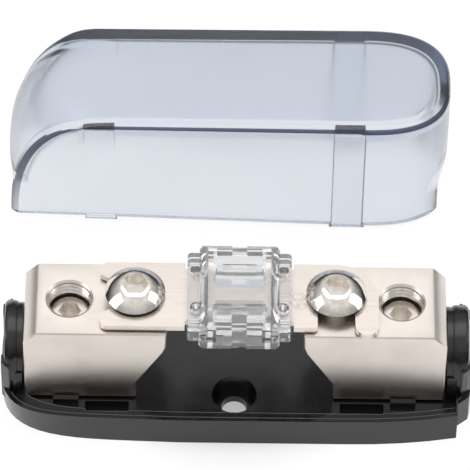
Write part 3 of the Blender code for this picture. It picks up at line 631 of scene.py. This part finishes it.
def clear_polycarbonate():
    surface, tree, output = new_material("polished_clear_polycarbonate")
    flow = place_noise(tree, 3.0, 2.0)
    settings = {"Base Color": linear(CLEAR_TINT), "IOR": PC_IOR, "Transmission Weight": 0.9}
    links = {"Roughness": spread(tree, flow, 0.03, 0.09), "Normal": bump(tree, flow, 0.006, 0.3)}
    shader = add_node(tree, "ShaderNodeBsdfPrincipled", settings, links)
    tree.links.new(shader.outputs[0], output.inputs["Surface"])
    return surface


clear_plastic = clear_polycarbonate()
print("made", clear_plastic.name)

# %% [markdown]
# The cover is polycarbonate tinted smoke blue and lightly frosted, so it shows what is behind it only as
# soft tones. The tint is a volume that absorbs light, which makes edges dark where light runs a long way
# inside the wall, as in life. The top edge and the sides of the legs are rougher and are given a darker
# surface colour, a painted shade for the dark lines they show, so they get their own surface.

# %% Smoke polycarbonate
SMOKE_SURFACE = "#F1F4F9"
SMOKE_TINT = "#7F92B4"
SMOKE_DENSITY = 95.0
# The next two colours are darker, a painted shade for the cover's dark edge and leg-side lines.
SMOKE_EDGE_PAINTED_SHADE = "#E6E6E2"
SMOKE_LEG_SIDE_PAINTED_SHADE = "#8C96A8"


def smoke_polycarbonate(name, tint_and_painted_shade, low, high):
    surface, tree, output = new_material(name)
    frost = place_noise(tree, 0.25, 4.0)
    flow = place_noise(tree, 14.0, 1.0)
    settings = {"Base Color": linear(tint_and_painted_shade), "IOR": PC_IOR, "Transmission Weight": 1.0}
    links = {"Roughness": spread(tree, flow, low, high, 0.0, 1.0), "Normal": bump(tree, frost, 0.003, 0.2)}
    shader = add_node(tree, "ShaderNodeBsdfPrincipled", settings, links)
    tree.links.new(shader.outputs[0], output.inputs["Surface"])
    settings = {"Color": linear(SMOKE_TINT), "Density": SMOKE_DENSITY}
    inside = add_node(tree, "ShaderNodeVolumeAbsorption", settings)
    tree.links.new(inside.outputs[0], output.inputs["Volume"])
    return surface


smoke_plastic = smoke_polycarbonate("frosted_smoke_polycarbonate", SMOKE_SURFACE, 0.16, 0.26)
# The edge and leg-side surfaces carry the painted shade.
smoke_edge_shade = smoke_polycarbonate("smoke_polycarbonate_edge_painted_shade", SMOKE_EDGE_PAINTED_SHADE, 0.3, 0.45)
smoke_leg_side_shade = smoke_polycarbonate("smoke_polycarbonate_leg_side_painted_shade", SMOKE_LEG_SIDE_PAINTED_SHADE, 0.3, 0.45)
print("made", smoke_plastic.name, "with its edge and leg side")

# %% [markdown]
# Each node takes the finish that its real piece has. The new tray takes the tray's finish, and its beads
# take the lighter grey ABS, a painted highlight along the rim.

# %% Give each node its finish
FINISHES = {
    "base_tray": tray_abs,
    "terminal_block_left": block_metal,
    "terminal_block_right": block_metal,
    "wire_set_screw_left": set_screw_metal,
    "wire_set_screw_right": set_screw_metal,
    "fuse_screw_left": screw_metal,
    "fuse_screw_right": screw_metal,
    "block_screw_left": screw_metal,
    "block_screw_right": screw_metal,
    "fuse_strip": strip_metal,
    "fuse_housing_upper": clear_plastic,
    "fuse_housing_lower": clear_plastic,
    "cover": smoke_plastic,
}


def give_finish(item, *finishes):
    item.data.materials.clear()
    for finish in finishes:
        item.data.materials.append(finish)


for name, finish in FINISHES.items():
    give_finish(nodes[name], finish)
    print(name, "is", finish.name)
give_finish(tray, tray_abs)
# The beads take the lighter grey, a painted highlight.
for bead in rim_beads:
    give_finish(bead, highlight_abs)

# %% [markdown]
# In the real cover the long front edge of the top and the sides of the legs read as darker lines. Here
# they get darker surfaces, a painted shade. The faces there are picked by where they lie and how they
# slope, because the cover is one moulding and can't be split.

# %% Paint shade on the cover's edges
# These set where the painted shade goes on the cover.
LEG_SIDE_NEAR = 0.0005
LEG_SIDE_FROM_MIDDLE = 0.007
EDGE_FULLNESS = 2.7
EDGE_STARTS = 0.84
EDGE_SLOPE = (0.35, 0.85)
NOSE_TURN = -0.02


def on_leg_side(centre, normal):
    near = [abs(abs(centre.x - middle) - LEG_HALF_WIDTH) < LEG_SIDE_NEAR for middle in LEG_PLACES]
    inside = abs(centre.y - COVER_MIDDLE_Y) > LEG_SIDE_FROM_MIDDLE
    return any(near) and abs(normal.x) > 0.5 and inside


def on_front_edge(centre, normal):
    across = (COVER_MIDDLE_Y - centre.y) / (COVER_HALF_DEPTH * side_taper(centre.x))
    along = max(0.0, (centre.x - ROUND_END_START) / (ROUND_END_TIP - ROUND_END_START))
    outside = across > 0 and across ** EDGE_FULLNESS + along ** EDGE_FULLNESS > EDGE_STARTS
    slope = normal.z if centre.x > NOSE_TURN else sqrt(normal.x ** 2 + normal.z ** 2)
    return outside and normal.y < -0.1 and EDGE_SLOPE[0] < slope < EDGE_SLOPE[1]


# The darker edge and leg-side surfaces are a painted shade.
give_finish(cover, smoke_plastic, smoke_edge_shade, smoke_leg_side_shade)
for face in cover.data.polygons:
    if on_leg_side(face.center, face.normal):
        face.material_index = 2
    elif on_front_edge(face.center, face.normal):
        face.material_index = 1
    else:
        face.material_index = 0
print("dark cover faces:", sum(face.material_index > 0 for face in cover.data.polygons))

# %% [markdown]
# The set screws sit below the block's face, so the top turns of the thread show in the hole. A thread is
# a ridge that climbs as it goes round. It is built as a loop of short sections, each a small triangle,
# turned about the hole's axis and raised by one pitch a turn. A fine M6 thread has a pitch of 0.75 mm.

# %% Threads in the set-screw holes
THREAD_PITCH = 0.00075
THREAD_RIDGE = 0.0003
THREAD_WIDTH = 0.0006
SECTIONS_PER_TURN = 40
RUN_OUT_SECTIONS = 6
RUN_OUT_LEAST = 0.02
HOLE_CLEARANCE = 0.0003
MOUTH = 0.0003


def thread_in_hole(name, screw_name, block_name):
    low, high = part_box(screw_name)
    centre = (low + high) / 2
    wall = (high.x - low.x) / 2 + HOLE_CLEARANCE + HAIR
    start = high.z
    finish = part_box(block_name)[1].z - MOUTH
    turns = (finish - start - 0.5 * THREAD_PITCH) / THREAD_PITCH
    builder = bmesh.new()
    rings = []
    count = int(turns * SECTIONS_PER_TURN)
    for k in range(count + 1):
        angle = 2 * pi * k / SECTIONS_PER_TURN
        level = start + THREAD_PITCH * k / SECTIONS_PER_TURN
        fade = mix(RUN_OUT_LEAST, 1.0, min(1.0, k / RUN_OUT_SECTIONS, (count - k) / RUN_OUT_SECTIONS))
        section = [(wall, 0.0), (wall - THREAD_RIDGE * fade, 0.5 * THREAD_WIDTH), (wall, THREAD_WIDTH)]
        ring = []
        for radius, up in section:
            place = (centre.x + radius * cos(angle), centre.y + radius * sin(angle), level + up)
            ring.append(builder.verts.new(place))
        rings.append(ring)
    for first, second in zip(rings, rings[1:]):
        for i in range(3):
            j = (i + 1) % 3
            builder.faces.new((first[i], first[j], second[j], second[i]))
    builder.faces.new(rings[0])
    builder.faces.new(rings[-1])
    bmesh.ops.recalc_face_normals(builder, faces=builder.faces)
    item = mesh_object(name, builder)
    give_finish(item, set_screw_metal)
    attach(item, "holder")
    print(name, "has", round(turns, 1), "turns")


for side in ("left", "right"):
    thread_in_hole("hole_thread_" + side, "wire_set_screw_" + side, "terminal_block_" + side)

# %% [markdown]
# A strip fuse has its rating stamped beside a screw. Here it is a plain number. The stamp is the outline
# of two digits, made from a text curve with a thin bevel and turned into a mesh, so that it lies on the
# strip as a fine raised edge and catches the light as a struck line does.

# %% Stamped number on the strip
STAMP_HEIGHT = 0.0034
STAMP_LINE = 0.00006
STAMP_Y = -0.001

stamp_curve = bpy.data.curves.new("stamped_number", "FONT")
stamp_curve.body = "60"
stamp_curve.size = STAMP_HEIGHT
stamp_curve.align_x = "CENTER"
stamp_curve.align_y = "CENTER"
stamp_curve.fill_mode = "NONE"
stamp_curve.bevel_depth = STAMP_LINE
stamp_curve.bevel_resolution = 1
stamp_curve.resolution_u = 4
stamp_source = object_from("stamp_source", stamp_curve)
bpy.context.view_layer.update()
finished_stamp = stamp_source.evaluated_get(bpy.context.evaluated_depsgraph_get())
stamp_mesh = bpy.data.meshes.new_from_object(finished_stamp)
bpy.data.objects.remove(stamp_source)
screw_low, screw_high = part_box("fuse_screw_right")
housing_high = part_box("fuse_housing_upper")[1]
stamp_x = (screw_low.x + housing_high.x) / 2
stamp_place = Matrix.Translation((stamp_x, STAMP_Y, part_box("fuse_strip")[1].z))
stamp_mesh.transform(stamp_place @ Matrix.Rotation(radians(90), 4, "Z"))
stamp = object_from("stamped_number", stamp_mesh)
give_finish(stamp, set_screw_metal)
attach(stamp, "holder")
print("stamp stands at x", round(stamp_x * 1000, 2), "mm")

# %% [markdown]
# The object stands on a plain white sheet. The sheet is a pale diffuse floor. Camera, glossy and
# transmission rays also see it glow a little, so it looks white in the picture, in metal and through the
# cover, while it still takes the object's soft shadow. Under the middle of the tray the glow fades, a
# painted shadow, so the paper seen through the fixing hole is grey. The light on the object stays at a
# plain level.

# %% Floor
FLOOR_HALF_SIZE = 1.2
FLOOR_DROP = 0.00002
FLOOR_WHITE = "#F2F2F2"
FLOOR_GLOW = 0.86
# The lower glow under the tray's middle is a painted shadow.
FLOOR_GLOW_IN_PAINTED_SHADOW = 0.3
PAINTED_SHADOW_FADES = (0.009, 0.02)
FLOOR_GLOW_STRENGTH = 1.06


def white_sheet():
    surface, tree, output = new_material("matt_white_paper")
    fibre = bump(tree, place_noise(tree, 3.0, 4.0), 0.01, 0.2)
    paper = add_node(tree, "ShaderNodeBsdfDiffuse", {"Color": linear(FLOOR_WHITE)}, {"Normal": fibre})
    rays = add_node(tree, "ShaderNodeLightPath")
    seen = rays.outputs["Is Camera Ray"]
    for extra in ("Is Glossy Ray", "Is Transmission Ray"):
        links = {0: seen, 1: rays.outputs[extra]}
        seen = add_node(tree, "ShaderNodeMath", {"operation": "MAXIMUM"}, links).outputs[0]
    # The glow fades towards the tray's middle, a painted shadow under the tray.
    place = add_node(tree, "ShaderNodeTexCoord").outputs["Object"]
    away = add_node(tree, "ShaderNodeVectorMath", {"operation": "LENGTH"}, {0: place}).outputs["Value"]
    glow_with_painted_shadow = spread(tree, away, FLOOR_GLOW_IN_PAINTED_SHADOW, FLOOR_GLOW, *PAINTED_SHADOW_FADES)
    share = add_node(tree, "ShaderNodeMath", {"operation": "MULTIPLY"}, {0: seen, 1: glow_with_painted_shadow}).outputs[0]
    settings = {"Color": (1, 1, 1, 1), "Strength": FLOOR_GLOW_STRENGTH}
    glow = add_node(tree, "ShaderNodeEmission", settings)
    links = {0: share, 1: paper.outputs[0], 2: glow.outputs[0]}
    sheet = add_node(tree, "ShaderNodeMixShader", None, links)
    tree.links.new(sheet.outputs[0], output.inputs["Surface"])
    return surface


floor_mesh = bpy.data.meshes.new("paper_sheet")
s = FLOOR_HALF_SIZE
floor_mesh.from_pydata([(-s, -s, 0), (s, -s, 0), (s, s, 0), (-s, s, 0)], [], [(0, 1, 2, 3)])
floor_mesh.materials.append(white_sheet())
floor = object_from("paper_sheet", floor_mesh)
floor.location.z = -FLOOR_DROP
print("floor is", 2 * FLOOR_HALF_SIZE, "m wide")

# %% [markdown]
# Small shiny things are lit by big soft sources. A large overhead panel gives the broad white reflections
# on the metal, a panel at each side shapes the ends, and an even sky fills the rest. The sky is darker
# near the horizon, which gives the mirror-like screws the dark band that makes them read as metal.

# %% Light
SKY_TOP = "#FFFFFF"
SKY_HORIZON = "#2A2C33"
SKY_STRENGTH = 0.92
SKY_FADES = {"From Min": 0.08, "From Max": 0.78}
OBJECT_MIDDLE = (0.0, 0.02, 0.01)


def sky():
    world = bpy.data.worlds.new("studio_sky")
    bpy.context.scene.world = world
    world.use_nodes = True
    tree = world.node_tree
    tree.nodes.clear()
    output = tree.nodes.new("ShaderNodeOutputWorld")
    way = add_node(tree, "ShaderNodeTexCoord").outputs["Generated"]
    up = add_node(tree, "ShaderNodeSeparateXYZ", None, {0: way}).outputs["Z"]
    share = add_node(tree, "ShaderNodeMapRange", SKY_FADES, {"Value": up}).outputs["Result"]
    colour = blend_colours(tree, share, SKY_HORIZON, SKY_TOP)
    light = add_node(tree, "ShaderNodeBackground", {"Strength": SKY_STRENGTH}, {"Color": colour})
    tree.links.new(light.outputs[0], output.inputs[0])


def panel(name, place, width, height, watts):
    """A soft rectangular light that faces the object."""
    lamp = bpy.data.lights.new(name, "AREA")
    lamp.shape = "RECTANGLE"
    lamp.size = width
    lamp.size_y = height
    lamp.energy = watts
    item = object_from(name, lamp)
    item.location = place
    way = Vector(OBJECT_MIDDLE) - Vector(place)
    item.rotation_euler = way.to_track_quat("-Z", "Y").to_euler()
    print(name, "gives", watts, "W")


sky()
panel("overhead_panel", (0.0, 0.12, 0.55), 0.6, 0.4, 0.9)
panel("left_panel", (-0.5, -0.1, 0.3), 0.3, 0.4, 0.7)
panel("right_panel", (0.5, 0.0, 0.3), 0.3, 0.4, 0.6)

# %% [markdown]
# The photograph was taken from the front, well above the object, with a long lens from some way off:
# lines that run along the object hardly converge. The camera is placed by its tilt, distance and lens,
# and looks between the tray and the cover.

# %% Camera
CAMERA_TILT = radians(51.5)
CAMERA_TURN = radians(-0.29)
CAMERA_ROLL = radians(0.91)
CAMERA_DISTANCE = 0.7244
CAMERA_AIM = Vector((-0.00014, 0.02205, 0.008))
LENS_MM = 360.0
SENSOR_MM = 36.0
NEAREST_SEEN = 0.01

level_forward = Vector((-sin(CAMERA_TURN), cos(CAMERA_TURN), 0))
forward = level_forward * cos(CAMERA_TILT) - Vector((0, 0, sin(CAMERA_TILT)))
level_right = Vector((cos(CAMERA_TURN), sin(CAMERA_TURN), 0))
level_up = level_right.cross(forward)
right = level_right * cos(CAMERA_ROLL) + level_up * sin(CAMERA_ROLL)
up = level_up * cos(CAMERA_ROLL) - level_right * sin(CAMERA_ROLL)
camera_data = bpy.data.cameras.new("camera")
camera_data.lens = LENS_MM
camera_data.sensor_width = SENSOR_MM
camera_data.clip_start = NEAREST_SEEN
camera = object_from("camera", camera_data)
turn = Matrix((right, up, -forward)).transposed().to_4x4()
camera.matrix_world = Matrix.Translation(CAMERA_AIM - forward * CAMERA_DISTANCE) @ turn
bpy.context.scene.camera = camera
bpy.context.scene.view_settings.view_transform = "Standard"
print("camera at", [round(v, 3) for v in camera.matrix_world.translation])
